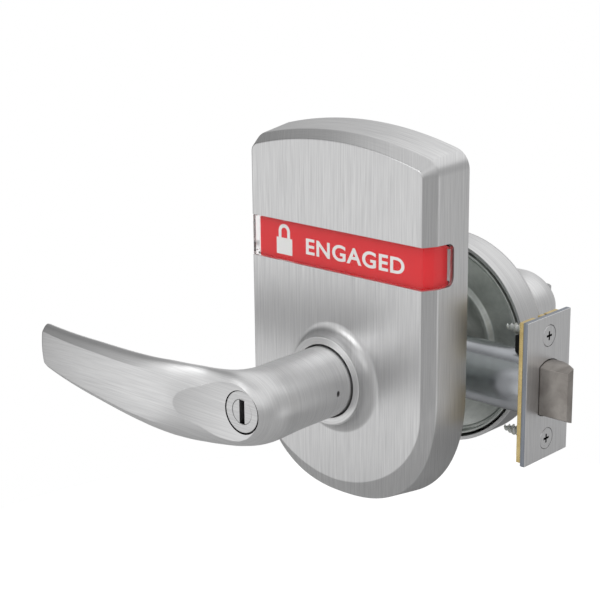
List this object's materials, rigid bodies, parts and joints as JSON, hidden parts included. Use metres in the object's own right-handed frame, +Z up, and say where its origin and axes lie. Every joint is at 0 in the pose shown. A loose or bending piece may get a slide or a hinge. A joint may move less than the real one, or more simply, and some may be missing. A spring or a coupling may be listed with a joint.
{
  "type": "privacy lever lock",
  "caption": "Privacy lever lock: tall outside cover with an occupancy flag behind a window, curved levers, round inside rose, and a spring latch for the door edge.",
  "frame": {"origin": "where the spindle axis (Y) crosses the latch axis (X), in the middle of the door's thickness", "axes": "+X to the door edge along the latch, -Y to the outside of the door, +Z up"},
  "size_m": [0.2015, 0.2121, 0.1505],
  "materials": {
    "satin_chrome": "satin chrome plate with a fine grain",
    "zinc_plate": "zinc plate, mottled bluish grey",
    "steel": "plain steel",
    "spring_steel": "oiled spring steel",
    "bolt_steel": "sintered steel, warm grey",
    "brass_plate": "yellow zinc or brass plate",
    "black_plastic": "black moulded plastic",
    "acetal": "natural acetal",
    "white_plastic": "white moulded plastic",
    "red_label": "printed red film",
    "clear_lens": "clear moulded plastic"
  },
  "bodies": {
    "root": {"cover": "satin_chrome", "lens": "clear_lens", "collar_out": "satin_chrome", "mount_plate_out": "zinc_plate", "flag_guide_left": "black_plastic", "flag_guide_right": "black_plastic", "spring_cage_out": "zinc_plate", "return_spring_out": "spring_steel", "cover_screws": "steel", "chassis_housing": "zinc_plate", "hub_sleeve_out": "steel", "hub_sleeve_in": "steel", "retractor_springs": "spring_steel", "mount_plate_in": "zinc_plate", "rose_in": "satin_chrome", "collar_in": "satin_chrome", "spring_cage_in": "zinc_plate", "return_spring_in": "spring_steel", "through_bolt_upper": "steel", "through_bolt_lower": "steel", "bolt_post_upper": "steel", "bolt_post_lower": "steel", "latch_spring": "spring_steel", "latch_tube": "zinc_plate", "tube_cap": "black_plastic", "plate_clip": "black_plastic", "faceplate": "satin_chrome", "backing_plate": "brass_plate", "face_screw_upper": "satin_chrome", "face_screw_lower": "satin_chrome"},
    "lever_out": {"lever_out": "satin_chrome", "face_ring_out": "satin_chrome", "spindle_out": "steel", "catch_out": "spring_steel", "spring_driver_out": "steel"},
    "lever_in": {"lever_in": "satin_chrome", "face_ring_in": "satin_chrome", "spindle_in": "steel", "catch_in": "spring_steel", "spring_driver_in": "steel"},
    "privacy_turn": {"turn_disc": "satin_chrome", "privacy_bar": "steel", "drive_dog": "steel", "pinion": "acetal", "thumb_turn": "satin_chrome"},
    "flag": {"flag_carrier": "white_plastic", "engaged_label": "red_label", "flag_rack": "white_plastic"},
    "retractor": {"retractor": "steel"},
    "latch": {"latch_bolt": "bolt_steel", "latch_tail": "steel"}
  },
  "joints": [
    {"name": "lever_out_turn", "type": "hinge", "parent": "root", "child": "lever_out", "pos_m": [0, 0, 0], "axis": [0, 1, 0], "range_deg": [-50, 0], "stiffness_Nm_per_rad": 1, "springref_deg": 22.92, "deforming": ["return_spring_out"]},
    {"name": "lever_in_turn", "type": "hinge", "parent": "root", "child": "lever_in", "pos_m": [0, 0, 0], "axis": [0, 1, 0], "range_deg": [-50, 0], "stiffness_Nm_per_rad": 1, "springref_deg": 22.92, "deforming": ["return_spring_in", "retractor_springs", "latch_spring"]},
    {"name": "privacy_turn_hinge", "type": "hinge", "parent": "root", "child": "privacy_turn", "pos_m": [0, 0, 0], "axis": [0, 1, 0], "range_deg": [-90, 0]},
    {"name": "flag_slide", "type": "slide", "parent": "root", "child": "flag", "axis": [0, 0, 1], "range_m": [0, 0.017]},
    {"name": "retractor_slide", "type": "slide", "parent": "root", "child": "retractor", "axis": [1, 0, 0], "range_m": [-0.01271, 0]},
    {"name": "latch_slide", "type": "slide", "parent": "root", "child": "latch", "axis": [1, 0, 0], "range_m": [-0.01271, 0]}
  ],
  "couplings": [
    {"joint": "privacy_turn_hinge", "follows": "flag_slide", "rad_per_m": -92.39},
    {"joint": "retractor_slide", "follows": "lever_in_turn", "m_per_rad": 0.014553},
    {"joint": "latch_slide", "follows": "lever_in_turn", "m_per_rad": 0.014553}
  ]
}
